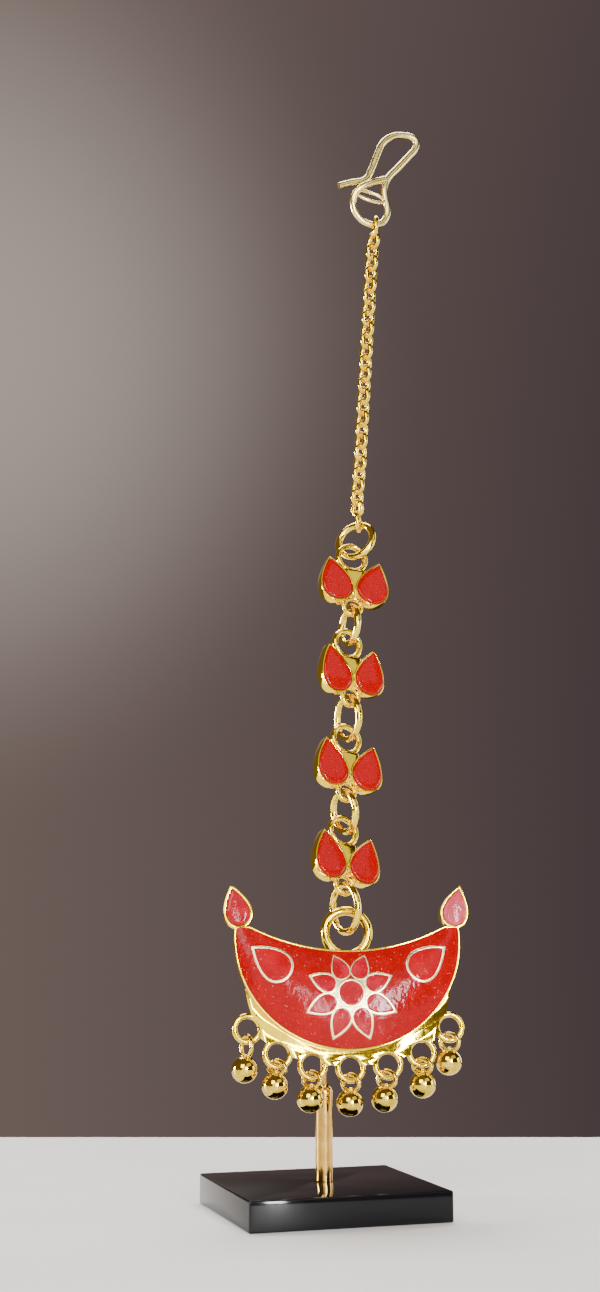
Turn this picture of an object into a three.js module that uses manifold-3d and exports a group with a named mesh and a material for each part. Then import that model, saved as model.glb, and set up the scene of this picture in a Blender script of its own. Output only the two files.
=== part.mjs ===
// A gilt and red enamel forehead jewel, held upright by a small black stand.
// Units are millimetres. The origin is the middle of the stand's underside, Z is up, X runs along
// the stand's front and Y points away from the viewer.
import * as THREE from 'three';
import { mergeVertices } from 'three/addons/utils/BufferGeometryUtils.js';
import Module from 'manifold-3d';

const wasm = await Module();
wasm.setup();

// Clearances
const seatGap = 0.06;        // enamel to its metal tray, post to its socket
const passGap = 0.2;         // between a ring and the ring that it holds
const padGap = 0.1;          // holding pad to the pendant's back

// Stand
const baseWidth = 31;
const baseDepth = 28.2;
const baseHeight = 4.5;
const baseBevel = 0.3;
const postRadius = 1.33;
const postLength = 14.4;     // above the base
const postSocket = 2.5;
const postX = 0.34;
const postY = 0.19;
const pinRadius = 0.45;
const padRadius = 1.4;
const padThick = 1.2;

// Pendant, in its own frame: X right, Z up, Y from the front rim (0) to the back
const pendantHeight = 40.6;  // of its frame's origin above the table
const pendantAt = { x: 3.18, y: -3.2, z: pendantHeight, yaw: -10, lean: 10, roll: 0 };
const crescentHalfWidth = 17.5;
const crescentDepth = 16.7;  // from the widest line down to the lowest point
const crescentTopDip = -1.66;
const crescentTopRadius = 33;
const hornTop = 2.0;         // height where the crescent's horns end
const pendantThick = 2.5;
const pocketDepth = 1.3;
const rimWidth = 0.32;
const domeRise = 1.5;        // how far the enamel bulges in the middle
const domeEdge = 0.08;       // how far its edge lies under the rim
const flangeWidth = 1.5;
const flangeDepth = 1.2;
const scallopReach = 1.6;    // from an eyelet's centre up into the flange
const scallopRise = 0.25;    // of a scallop's middle above the line of the eyelets' centres
const scallopShare = 0.16;   // of the way to the next eyelet where a scallop's edge begins
const scallopInset = 0.1;    // scallops are this much thinner than the flange on each side
const topRingRadius = 4.1;
const topRingBand = 1.45;
const topRingDepth = 1.8;
const topRingHeight = 1.22;
const eyeletRadius = 2.35;
const eyeletBand = 0.85;
const eyeletDepth = 0.9;
const cellWall = 0.4;
const cellWallLift = 0.12;   // how far the cell walls stand proud of the enamel
const hornWidth = 4.45;
const hornThick = 2.3;
const hornPocket = 1.0;
const flowerHeight = -8.31;
const flowerCentreRadius = 2.22;
const flowerCollarRadius = 3.7;   // of the gold between the feet of the petals
const flowerCollarTop = 2.0;      // above the flower's middle
const sliverSize = 0.02;     // faces thinner than this are merged into their neighbours
const cutFront = -3;         // where tools that cut through the pendant's enamel begin
const pinReach = { x: -4, z: -9.5 };   // where the pin's pad meets the pendant's back

// Leaf links, in their own frame like the pendant's
const linkThick = 2.1;
const linkPocket = 0.9;
const linkRim = 0.3;
const leafWidth = 5.55;
const leafTip = { x: 4.27, z: 6.06 };
const leafFoot = { x: 2.26, z: -1.86 };
const linkRingRadius = 2.75;
const linkRingBand = 0.95;
const linkRingDepth = 1.2;
const linkRingHeight = 6.86;
const linkEyeRadius = 1.85;
const linkEyeBand = 0.8;
const linkEyeDepth = 1.0;
const linkEyeHeight = -2.0;
const webDepth = 1.5;
const webFoot = { halfWidth: 0.6, z: -0.5 };
const enamelRise = 0.3;      // how far a leaf's or horn's enamel stands proud of its rim
const enamelBevel = 0.45;

// Wire rings
const ringWire = 0.57;       // wire radius
const topJumpRadius = 3.6;
const topJumpRise = 9.23;    // of its middle above the top link's origin
const topJump = { x: 7.44, y: 4.55, yaw: -45, lean: 20, roll: 0 };
const jumpDepth = 7.6;       // outer size of the lower jump rings from front to back
const jumpRest = 0.1;        // lower jump ring's wire above the middle of the ring that it holds

// Bells
const ballRadius = 2.02;
const loopWire = 0.35;
const loopHalfDepth = 1.6;

// Chain
const chainLength = 50.63;   // from the top wire ring up to the hook's eye
const chainSway = 1.73;      // how far to the right its upper end is
const chainSetback = -4.28;  // how far back its upper end is
const chainPitch = 1.9;
const chainWire = 0.36;
const chainLinkWidth = 2.75;
const chainFuse = 0.1;       // how far neighbouring links are soldered into each other
const chainEndWidth = 3.3;
const chainEndInner = 2.6;
const chainTurns = [-64, 26]; // every other link is turned this far from the side-on plane
const chainEndTurns = { lower: 62, upper: 78 };

// Hook
const hookWire = 0.56;
const hookInnerWire = 0.3;
const hookWidth = 13.8;
const hookHeight = 16.7;

// Chosen points of the chain from below: share of the way up, and how far they stray to the side
const chainRoute = [
  { share: 0.09, x: -0.42, y: 0.12 },
  { share: 0.21, x: -0.29, y: 0.11 },
  { share: 0.44, x: -0.29, y: 0.12 },
  { share: 0.64, x: -0.28, y: 0.07 },
  { share: 0.89, x: -0.22, y: 0.04 },
];

// Middle line of the hook's wire from its free tip, as shares of its width and height, counted from
// where its eye holds the chain
const hookRoute = [
  { across: -0.458, back: 0.000, up: 0.359 },
  { across: -0.290, back: 0.000, up: 0.413 },
  { across: -0.116, back: 0.000, up: 0.467 },
  { across: -0.043, back: 0.000, up: 0.575 },
  { across: 0.033, back: 0.000, up: 0.743 },
  { across: 0.116, back: 0.000, up: 0.886 },
  { across: 0.225, back: 0.000, up: 0.964 },
  { across: 0.366, back: 0.000, up: 0.997 },
  { across: 0.486, back: 0.000, up: 0.991 },
  { across: 0.543, back: 0.000, up: 0.946 },
  { across: 0.533, back: 0.000, up: 0.868 },
  { across: 0.449, back: 0.000, up: 0.778 },
  { across: 0.315, back: 0.000, up: 0.647 },
  { across: 0.174, back: 0.000, up: 0.509 },
  { across: 0.130, back: 0.000, up: 0.425 },
  { across: 0.134, back: 0.000, up: 0.287 },
  { across: 0.163, back: 0.000, up: 0.180 },
  { across: 0.141, back: 0.000, up: 0.084 },
  { across: 0.058, back: 0.000, up: 0.012 },
  { across: -0.080, back: 0.000, up: -0.003 },
  { across: -0.221, back: -0.006, up: 0.060 },
  { across: -0.286, back: -0.018, up: 0.168 },
  { across: -0.275, back: -0.042, up: 0.269 },
  { across: -0.203, back: -0.066, up: 0.344 },
  { across: -0.080, back: -0.075, up: 0.401 },
  { across: 0.101, back: -0.072, up: 0.461 },
];
const innerTurnAt = { across: -0.065, back: -0.015, up: 0.281 };
const innerTurnLong = { across: 0.181, back: 0, up: -0.027 };
const innerTurnShort = { across: 0.011, back: 0.018, up: 0.051 };

// Leaf links from the top down; rise is the height above the next link, or above the pendant
const linkTable = [
  { x: 5.87, y: 0.4, rise: 14.8, yaw: 0.5, lean: 17.8, roll: 5.6 },
  { x: 5.38, y: -0.4, rise: 15.04, yaw: 13, lean: 11, roll: 3.3 },
  { x: 4.39, y: -1.2, rise: 14.44, yaw: 10.2, lean: 16.2, roll: 8.7 },
  { x: 3.72, y: -2.0, rise: 10.61, yaw: 13, lean: 18.2, roll: 9.7 },
];
const jumpTurns = [4, 13, 13, 18];   // how far each lower jump ring is turned from edge-on

// Right half of the eyelet row: degrees round the crescent, and distance out from its edge
const eyeletTable = [
  { angle: 41.3, out: 3.19 },
  { angle: 57.8, out: 3.23 },
  { angle: 73.4, out: 2.7 },
  { angle: 90, out: 2.33 },
];

// Bells from left to right: ball centre below the eyelet's centre, its sway to the right,
// and how far its loop is turned from edge-on
const bellTable = [
  { drop: 5.9, sway: -0.5, turn: 12 },
  { drop: 4.6, sway: -0.5, turn: 34 },
  { drop: 4.9, sway: -0.5, turn: 35 },
  { drop: 5.1, sway: -0.2, turn: 32 },
  { drop: 5.0, sway: -0.7, turn: 36 },
  { drop: 4.7, sway: 0, turn: 36 },
  { drop: 5.1, sway: -0.3, turn: 36 },
];

// Petals clockwise from the top: degrees from straight up, distance of the tip, and width
const petalTable = [
  { turn: 22.5, tip: 6.45, width: 3.0 },
  { turn: 67.5, tip: 7.0, width: 3.25 },
  { turn: 112.5, tip: 7.6, width: 3.4 },
  { turn: 157.5, tip: 7.5, width: 3.4 },
  { turn: 202.5, tip: 7.5, width: 3.4 },
  { turn: 247.5, tip: 7.6, width: 3.4 },
  { turn: 292.5, tip: 7.0, width: 3.25 },
  { turn: 337.5, tip: 6.45, width: 3.0 },
];

// Drop-shaped cells on the right side, tip and round foot in the pendant's frame
const sideDrop = { tip: { x: 15.0, z: -1.15 }, foot: { x: 9.2, z: -5.75 }, width: 5.2 };
const hornDrop = { tip: { x: 17.87, z: 8.35 }, foot: { x: 16.3, z: 1.75 } };

const gold = { color: 0xe3b13a, roughness: 0.18, metalness: 1 };
const paleGold = { color: 0xd9c08a, roughness: 0.22, metalness: 1 };
const redEnamel = { color: 0xc80a0a, roughness: 0.12, metalness: 0 };
const roseEnamel = { color: 0xb81424, roughness: 0.15, metalness: 0 };
const blackGloss = { color: 0x0a0a0b, roughness: 0.08, metalness: 0 };

const model = new THREE.Group();

function addMesh(name, geometry, look, parent = model) {
  const mesh = new THREE.Mesh(geometry, new THREE.MeshStandardMaterial(look));
  mesh.name = name;
  parent.add(mesh);
  return mesh;
}

function addFrame(pose) {
  const frame = new THREE.Group();
  frame.position.set(pose.x, pose.y, pose.z);
  const [lean, roll, yaw] = [-pose.lean, pose.roll, pose.yaw].map(THREE.MathUtils.degToRad);
  frame.rotation.set(lean, roll, yaw, 'ZXY');
  model.add(frame);
  frame.updateMatrixWorld(true);
  return frame;
}

function worldPoint(frame, x, y, z) {
  return frame.localToWorld(new THREE.Vector3(x, y, z));
}

// Closed geometry to a solid, and back
function toSolid(geometry) {
  const bare = geometry.clone();
  bare.deleteAttribute('normal');
  bare.deleteAttribute('uv');
  const merged = mergeVertices(bare, 1e-4);
  const vertProperties = new Float32Array(merged.attributes.position.array);
  const triVerts = new Uint32Array(merged.index.array);
  return new wasm.Manifold(new wasm.Mesh({ numProp: 3, vertProperties, triVerts }));
}

function toGeometry(solid) {
  const { vertProperties, triVerts } = solid.asOriginal().getMesh();
  const geometry = new THREE.BufferGeometry();
  geometry.setAttribute('position', new THREE.BufferAttribute(new Float32Array(vertProperties), 3));
  geometry.setIndex(new THREE.BufferAttribute(new Uint32Array(triVerts), 1));
  geometry.computeVertexNormals();
  return geometry;
}

function join(geometries) {
  return geometries.map(toSolid).reduce((whole, next) => whole.add(next));
}

function largestPiece(solid) {
  return solid.decompose().reduce((best, next) => (next.volume() > best.volume() ? next : best));
}

// An outline of { x, z } points made into a plate between two depths
function plate(outline, front, back, bevel = 0) {
  const shape = new THREE.Shape(outline.map((p) => new THREE.Vector2(p.x, p.z)));
  const options = {
    depth: back - front - 2 * bevel,
    bevelEnabled: bevel > 0,
    bevelThickness: bevel,
    bevelSize: bevel,
    bevelOffset: -bevel,
    bevelSegments: 1,
  };
  const geometry = new THREE.ExtrudeGeometry(shape, options);
  geometry.rotateX(Math.PI / 2);
  geometry.translate(0, back - bevel, 0);
  return geometry;
}

// Moves each point of a closed outline inwards along its own corner's middle direction
function inset(outline, distance) {
  const area = outline.reduce((sum, p, i) => {
    const q = outline[(i + 1) % outline.length];
    return sum + p.x * q.z - q.x * p.z;
  }, 0);
  const side = Math.sign(area);
  return outline.map((p, i) => {
    const before = outline[(i + outline.length - 1) % outline.length];
    const after = outline[(i + 1) % outline.length];
    const a = new THREE.Vector2(p.x - before.x, p.z - before.z).normalize();
    const b = new THREE.Vector2(after.x - p.x, after.z - p.z).normalize();
    const normal = new THREE.Vector2(-a.y - b.y, a.x + b.x).multiplyScalar(side).normalize();
    const reach = distance / Math.max(0.3, Math.abs(normal.x * -a.y + normal.y * a.x));
    return { x: p.x + normal.x * reach, z: p.z + normal.y * reach };
  });
}

// A drop with a round foot and a pointed tip, widest a third of the way up
function dropOutline(foot, tip, width, steps) {
  const along = new THREE.Vector2(tip.x - foot.x, tip.z - foot.z);
  const across = new THREE.Vector2(-along.y, along.x).normalize();
  const widest = Math.sqrt(1 / 3) * (2 / 3);
  const half = [];
  for (let i = 1; i < steps; i += 1) {
    const share = (i / steps) ** 1.6;
    half.push({ share, reach: (width / 2) * Math.sqrt(share) * (1 - share) / widest });
  }
  const at = ({ share, reach }, side) => ({
    x: foot.x + along.x * share + across.x * reach * side,
    z: foot.z + along.y * share + across.y * reach * side,
  });
  const right = half.map((step) => at(step, -1));
  const left = half.map((step) => at(step, 1)).reverse();
  return [foot, ...right, tip, ...left];
}

function circleOutline(centre, radius, sides) {
  const points = [];
  for (let i = 0; i < sides; i += 1) {
    const angle = (2 * Math.PI * i) / sides;
    points.push({ x: centre.x + radius * Math.cos(angle), z: centre.z + radius * Math.sin(angle) });
  }
  return points;
}

function mirrored(point) {
  return { x: -point.x, z: point.z };
}

// A flat cast ring that faces the front
function castRing(centre, radius, band, depth, sides) {
  const inner = radius - band;
  const crown = 0.4 * band;
  const profile = [
    [inner, 0],
    [inner + crown, -depth / 2],
    [radius, -depth / 4],
    [radius, depth / 4],
    [inner + crown, depth / 2],
    [inner, 0],
  ].map(([x, y]) => new THREE.Vector2(x, y));
  const geometry = new THREE.LatheGeometry(profile, sides);
  geometry.translate(centre.x, centre.y, centre.z);
  return geometry;
}

// A closed oval of wire, given by its middle and its two half axes
class OvalLoop extends THREE.Curve {
  constructor(centre, halfA, halfB) {
    super();
    this.centre = centre;
    this.halfA = halfA;
    this.halfB = halfB;
  }

  getPoint(t, target = new THREE.Vector3()) {
    const angle = 2 * Math.PI * t;
    target.copy(this.centre);
    target.addScaledVector(this.halfA, Math.cos(angle));
    return target.addScaledVector(this.halfB, Math.sin(angle));
  }
}

function wireLoop(centre, halfA, halfB, wire, steps, sides) {
  const curve = new OvalLoop(centre, halfA, halfB);
  return new THREE.TubeGeometry(curve, steps, wire, sides, true);
}

// Stand
function standBase() {
  const halfX = baseWidth / 2;
  const halfY = baseDepth / 2;
  const corners = [[-halfX, -halfY], [halfX, -halfY], [halfX, halfY], [-halfX, halfY]];
  const shape = new THREE.Shape(corners.map(([x, y]) => new THREE.Vector2(x, y)));
  const block = new THREE.ExtrudeGeometry(shape, {
    depth: baseHeight - 2 * baseBevel,
    bevelThickness: baseBevel,
    bevelSize: baseBevel,
    bevelOffset: -baseBevel,
    bevelSegments: 1,
  });
  block.translate(0, 0, baseBevel);
  const socketLength = postSocket + seatGap + 1;
  const socket = new THREE.CylinderGeometry(postRadius + seatGap, postRadius + seatGap, socketLength, 16);
  socket.rotateX(Math.PI / 2);
  socket.translate(postX, postY, baseHeight - postSocket - seatGap + socketLength / 2);
  return toGeometry(toSolid(block).subtract(toSolid(socket)));
}

// The post has a domed end; a thin pin rises from it to a pad behind the pendant
function standPost(pendant) {
  const foot = baseHeight - postSocket;
  const top = baseHeight + postLength;
  const profile = [new THREE.Vector2(0, foot), new THREE.Vector2(postRadius, foot)];
  for (let i = 0; i < 4; i += 1) {
    const angle = (Math.PI / 2) * (i / 4);
    const height = top - postRadius * (1 - Math.sin(angle));
    profile.push(new THREE.Vector2(postRadius * Math.cos(angle), height));
  }
  profile.push(new THREE.Vector2(0, top));
  const post = new THREE.LatheGeometry(profile, 16);
  post.rotateX(Math.PI / 2);
  post.translate(postX, postY, 0);

  const padBack = pendantThick + padGap + padThick;
  const start = new THREE.Vector3(postX, postY, top - postRadius);
  const end = worldPoint(pendant, pinReach.x, padBack - padThick / 2, pinReach.z);
  const pin = new THREE.CylinderGeometry(pinRadius, pinRadius, start.distanceTo(end), 8);
  const upright = new THREE.Vector3(0, 1, 0);
  const direction = end.clone().sub(start).normalize();
  pin.applyQuaternion(new THREE.Quaternion().setFromUnitVectors(upright, direction));
  const middle = start.clone().lerp(end, 0.5);
  pin.translate(middle.x, middle.y, middle.z);

  const pad = new THREE.CylinderGeometry(padRadius, padRadius, padThick, 12);
  pad.translate(pinReach.x, padBack - padThick / 2, pinReach.z);
  pad.applyMatrix4(pendant.matrixWorld);
  return toGeometry(join([post, pin, pad]));
}

// Crescent outline drawn in by a given distance
function crescentLower(share, drawIn) {
  const start = -Math.asin((hornTop - drawIn) / (crescentDepth - drawIn));
  const angle = start + (Math.PI - 2 * start) * share;
  return {
    x: -(crescentHalfWidth - drawIn) * Math.cos(angle),
    z: -(crescentDepth - drawIn) * Math.sin(angle),
  };
}

function crescentUpper(share, drawIn) {
  const rise = hornTop - crescentTopDip;
  const halfChord = Math.sqrt(2 * crescentTopRadius * rise - rise * rise);
  const x = halfChord * (2 * share - 1);
  const z = crescentTopDip + crescentTopRadius - Math.sqrt(crescentTopRadius ** 2 - x * x);
  return { x, z: z - drawIn };
}

function crescentOutline(drawIn) {
  const lowerSteps = 24;
  const upperSteps = 12;
  const points = [];
  for (let i = 0; i <= lowerSteps; i += 1) points.push(crescentLower(i / lowerSteps, drawIn));
  for (let i = upperSteps; i >= 0; i -= 1) points.push(crescentUpper(i / upperSteps, drawIn));
  return points;
}

// The bulging block that the enamel cells and their walls are cut from
function domeBlock(drawIn, lift, back) {
  const block = new THREE.BoxGeometry(1, 1, 1, 16, 1, 4);
  const position = block.attributes.position;
  const widest = crescentTopDip + crescentDepth;
  for (let i = 0; i < position.count; i += 1) {
    const along = position.getX(i) + 0.5;
    const up = position.getZ(i) + 0.5;
    const low = crescentLower(along, drawIn);
    const high = crescentUpper(along, drawIn);
    const width = Math.hypot(high.x - low.x, high.z - low.z);
    const bulge = domeRise * (width / widest) * 4 * up * (1 - up);
    const front = domeEdge - bulge - lift;
    position.setX(i, low.x + (high.x - low.x) * up);
    position.setY(i, position.getY(i) < 0 ? front : back);
    position.setZ(i, low.z + (high.z - low.z) * up);
  }
  return block;
}

function collarOutline() {
  const highest = flowerHeight + flowerCollarTop;
  const round = circleOutline({ x: 0, z: flowerHeight }, flowerCollarRadius, 24);
  return round.map(({ x, z }) => ({ x, z: Math.min(z, highest) }));
}

// Every cell inside the crescent: its outline and the node of its enamel
function crescentCells() {
  const centre = { x: 0, z: flowerHeight };
  const cells = petalTable.map(({ turn, tip, width }, i) => {
    const angle = THREE.MathUtils.degToRad(turn);
    const at = (reach) => ({
      x: reach * Math.sin(angle),
      z: flowerHeight + reach * Math.cos(angle),
    });
    const outline = dropOutline(at(flowerCentreRadius), at(tip), width, 6);
    return { name: `enamel_petal_${i + 1}`, outline };
  });
  cells.push({ name: 'enamel_centre', outline: circleOutline(centre, flowerCentreRadius, 12) });
  const right = dropOutline(sideDrop.foot, sideDrop.tip, sideDrop.width, 6);
  cells.push({ name: 'enamel_drop_right', outline: right });
  cells.push({ name: 'enamel_drop_left', outline: right.map(mirrored).reverse() });
  return cells;
}

function hornOutline(side) {
  const outline = dropOutline(hornDrop.foot, hornDrop.tip, hornWidth, 6);
  return side > 0 ? outline : outline.map(mirrored).reverse();
}

// Eyelet centres from left to right, in the pendant's frame
function eyeletCentres() {
  const right = eyeletTable.map(({ angle, out }) => {
    const turn = THREE.MathUtils.degToRad(angle);
    const edge = { x: crescentHalfWidth * Math.cos(turn), z: -crescentDepth * Math.sin(turn) };
    const normal = new THREE.Vector2(
      Math.cos(turn) / crescentHalfWidth,
      -Math.sin(turn) / crescentDepth,
    ).normalize();
    return { x: edge.x + normal.x * out, z: edge.z + normal.y * out };
  });
  const left = right.slice(0, -1).map(mirrored);
  return [...left, ...right.reverse()];
}

function flangeOutline() {
  const from = 0.17;
  const taper = 0.12;
  const steps = 12;
  const outer = [];
  const inner = [];
  for (let i = 0; i <= steps; i += 1) {
    const share = from + (1 - 2 * from) * (i / steps);
    const fade = Math.min(1, Math.min(i, steps - i) / steps / taper);
    outer.push(crescentLower(share, -flangeWidth * fade));
    inner.push(crescentLower(share, rimWidth));
  }
  return [...outer, ...inner.reverse()];
}

// Gold between two neighbouring eyelets, down to the line of their centres
function scallopOutlines() {
  const centres = eyeletCentres().map(({ x, z }) => new THREE.Vector2(x, z));
  return centres.slice(1).map((b, i) => {
    const a = centres[i];
    const out = a.clone().add(b).normalize();
    const points = [
      a.clone().addScaledVector(out, -scallopReach),
      a.clone().lerp(b, scallopShare),
      a.clone().lerp(b, 0.5).addScaledVector(out, -scallopRise),
      b.clone().lerp(a, scallopShare),
      b.clone().addScaledVector(out, -scallopReach),
    ];
    return points.map((point) => ({ x: point.x, z: point.y }));
  });
}

function buildFlange() {
  const front = pendantThick - flangeDepth;
  const band = plate(flangeOutline(), front, pendantThick);
  const scallops = scallopOutlines().map((outline) => {
    return plate(outline, front + scallopInset, pendantThick - scallopInset);
  });
  const holes = eyeletCentres().map((centre) => {
    const ring = circleOutline(centre, eyeletRadius - 0.6 * eyeletBand, 8);
    return plate(ring, 0, 2 * pendantThick);
  });
  return join([band, ...scallops]).subtract(join(holes));
}

function buildPendant(frame) {
  const cells = crescentCells();
  const ringMiddle = pendantThick - topRingDepth / 2;
  const eyeletMiddle = pendantThick - flangeDepth / 2;
  const body = join([
    plate(crescentOutline(0), 0, pendantThick),
    plate(hornOutline(1), 0, hornThick),
    plate(hornOutline(-1), 0, hornThick),
    castRing(new THREE.Vector3(0, ringMiddle, topRingHeight), topRingRadius, topRingBand, topRingDepth, 16),
    ...eyeletCentres().map(({ x, z }) => {
      const centre = new THREE.Vector3(x, eyeletMiddle, z);
      return castRing(centre, eyeletRadius, eyeletBand, eyeletDepth, 10);
    }),
  ]).add(buildFlange());
  const clear = 1;
  const pockets = join([
    plate(crescentOutline(rimWidth), -clear, pocketDepth),
    plate(inset(hornOutline(1), rimWidth), -clear, hornPocket),
    plate(inset(hornOutline(-1), rimWidth), -clear, hornPocket),
  ]);
  const wallPlates = cells.map(({ outline }) => {
    const outside = toSolid(plate(outline, -2 * domeRise, pendantThick));
    return outside.subtract(toSolid(plate(inset(outline, cellWall), -3 * domeRise, 2 * pendantThick)));
  });
  const collarPlate = (drawIn) => toSolid(plate(inset(collarOutline(), drawIn), cutFront, 2 * pendantThick));
  const flowerCells = cells.filter(({ name }) => !name.includes('drop'));
  const flowerHoles = flowerCells.map(({ outline }) => {
    return plate(inset(outline, cellWall / 2), 2 * cutFront, 3 * pendantThick);
  });
  wallPlates.push(collarPlate(0).subtract(join(flowerHoles)));
  const wallBlock = toSolid(domeBlock(rimWidth, cellWallLift, pocketDepth + seatGap));
  const walls = wallPlates.reduce((whole, next) => whole.add(next)).intersect(wallBlock);
  addMesh('pendant', toGeometry(body.subtract(pockets).add(walls).simplify(sliverSize)), gold, frame);

  const enamelBlock = toSolid(domeBlock(rimWidth + seatGap, 0, pocketDepth - seatGap));
  const cellHoles = cells.map(({ outline }) => {
    return plate(inset(outline, -seatGap), cutFront, 2 * pendantThick);
  });
  const field = enamelBlock.subtract(join(cellHoles)).subtract(collarPlate(-seatGap));
  addMesh('enamel_field', toGeometry(largestPiece(field)), redEnamel, frame);
  for (const { name, outline } of cells) {
    const footprint = toSolid(plate(inset(outline, cellWall + seatGap), cutFront, 2 * pendantThick));
    addMesh(name, toGeometry(largestPiece(enamelBlock.intersect(footprint))), roseEnamel, frame);
  }
  for (const [name, side] of [['enamel_horn_left', -1], ['enamel_horn_right', 1]]) {
    const outline = inset(hornOutline(side), rimWidth + seatGap);
    addMesh(name, plate(outline, -enamelRise, hornPocket - seatGap, enamelBevel), roseEnamel, frame);
  }
}

// One leaf link: two enamelled leaves, a ring above and an eyelet behind
function leafOutline(side) {
  const outline = dropOutline(leafFoot, leafTip, leafWidth, 6);
  return side > 0 ? outline : outline.map(mirrored).reverse();
}

function buildLink(number, pose) {
  const frame = addFrame(pose);
  const ringAt = new THREE.Vector3(0, linkThick - linkRingDepth / 2, linkRingHeight);
  const eyeAt = new THREE.Vector3(0, linkThick - linkEyeDepth / 2, linkEyeHeight);
  const ringFoot = linkRingHeight - linkRingRadius + linkRingBand / 2;
  const web = [
    { x: -webFoot.halfWidth, z: webFoot.z },
    { x: webFoot.halfWidth, z: webFoot.z },
    { x: linkRingRadius * 0.75, z: ringFoot },
    { x: -linkRingRadius * 0.75, z: ringFoot },
  ];
  const body = join([
    plate(leafOutline(1), 0, linkThick),
    plate(leafOutline(-1), 0, linkThick),
    plate(web, linkThick - webDepth, linkThick),
    castRing(ringAt, linkRingRadius, linkRingBand, linkRingDepth, 12),
    castRing(eyeAt, linkEyeRadius, linkEyeBand, linkEyeDepth, 10),
  ]);
  const pockets = [1, -1].map((side) => plate(inset(leafOutline(side), linkRim), -1, linkPocket));
  addMesh(`leaf_link_${number}`, toGeometry(body.subtract(join(pockets))), gold, frame);
  for (const [name, side] of [['left', -1], ['right', 1]]) {
    const outline = inset(leafOutline(side), linkRim + seatGap);
    const enamel = plate(outline, -enamelRise, linkPocket - seatGap, enamelBevel);
    addMesh(`leaf_enamel_${number}_${name}`, enamel, redEnamel, frame);
  }
  return {
    ring: worldPoint(frame, ringAt.x, ringAt.y, ringAt.z),
    eye: worldPoint(frame, eyeAt.x, eyeAt.y, eyeAt.z),
  };
}

// A wire ring that hangs in the upper eyelet and holds the lower ring
function buildJumpRing(name, upper, lower, turn) {
  const top = upper.clone();
  const bottom = lower.clone().add(new THREE.Vector3(0, 0, jumpRest));
  const centre = top.clone().lerp(bottom, 0.5);
  const halfHeight = top.clone().sub(bottom).multiplyScalar(0.5);
  const angle = THREE.MathUtils.degToRad(turn);
  const towardsFront = new THREE.Vector3(Math.sin(angle), -Math.cos(angle), 0);
  const along = halfHeight.clone().normalize();
  towardsFront.addScaledVector(along, -towardsFront.dot(along)).normalize();
  towardsFront.multiplyScalar(jumpDepth / 2 - ringWire);
  addMesh(name, wireLoop(centre, halfHeight, towardsFront, ringWire, 14, 5), gold);
}

function buildBell(number, eyelet, { drop, sway, turn }) {
  const ball = new THREE.SphereGeometry(ballRadius, 12, 6);
  ball.rotateX(Math.PI / 2);
  ball.translate(0, 0, -drop);
  const top = -(eyeletRadius - eyeletBand - passGap - loopWire);
  const bottom = -(drop - ballRadius + loopWire);
  const centre = new THREE.Vector3(0, 0, (top + bottom) / 2);
  const halfHeight = new THREE.Vector3(0, 0, (top - bottom) / 2);
  const halfDepth = new THREE.Vector3(0, -loopHalfDepth, 0);
  halfDepth.applyAxisAngle(new THREE.Vector3(0, 0, 1), THREE.MathUtils.degToRad(turn));
  const loop = wireLoop(centre, halfHeight, halfDepth, loopWire, 10, 5);
  const bell = addMesh(`bell_${number}`, toGeometry(join([ball, loop])), gold);
  bell.position.copy(eyelet);
  bell.rotation.set(0, Math.atan2(-sway, drop), 0);
}

// One open chain link, turned about the chain's own direction
function chainLink(centre, along, turn, innerLength, width) {
  const angle = THREE.MathUtils.degToRad(turn);
  const across = new THREE.Vector3(Math.cos(angle), Math.sin(angle), 0);
  across.addScaledVector(along, -across.dot(along)).normalize();
  const halfLength = along.clone().multiplyScalar(innerLength / 2 + chainWire);
  return wireLoop(centre, halfLength, across.multiplyScalar(width / 2 - chainWire), chainWire, 10, 5);
}

function buildChain(lowerHold, upperHold) {
  const reach = chainEndInner / 2 - passGap;
  const start = lowerHold.clone().add(new THREE.Vector3(0, 0, reach - ringWire));
  const end = upperHold.clone().add(new THREE.Vector3(0, 0, hookWire - reach));
  const between = chainRoute.map(({ share, x, y }) => {
    const straight = lowerHold.clone().lerp(upperHold, share);
    return straight.add(new THREE.Vector3(x, y, 0));
  });
  const route = new THREE.CatmullRomCurve3([start, ...between, end]);
  const length = route.getLength();
  const count = Math.round((length - chainEndInner) / chainPitch);
  const inner = (length - chainEndInner - (count + 1) * chainFuse) / count;
  const firstStep = (chainEndInner + inner) / 2 + chainFuse;
  const links = [];
  const addLink = (distance, turn, innerLength, width) => {
    const share = distance / length;
    const centre = route.getPointAt(share);
    links.push(chainLink(centre, route.getTangentAt(share), turn, innerLength, width));
  };
  addLink(0, chainEndTurns.lower, chainEndInner, chainEndWidth);
  for (let i = 0; i < count; i += 1) {
    addLink(firstStep + i * (inner + chainFuse), chainTurns[i % 2], inner, chainLinkWidth);
  }
  addLink(length, chainEndTurns.upper, chainEndInner, chainEndWidth);
  addMesh('chain', toGeometry(largestPiece(join(links))), gold);
}

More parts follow.
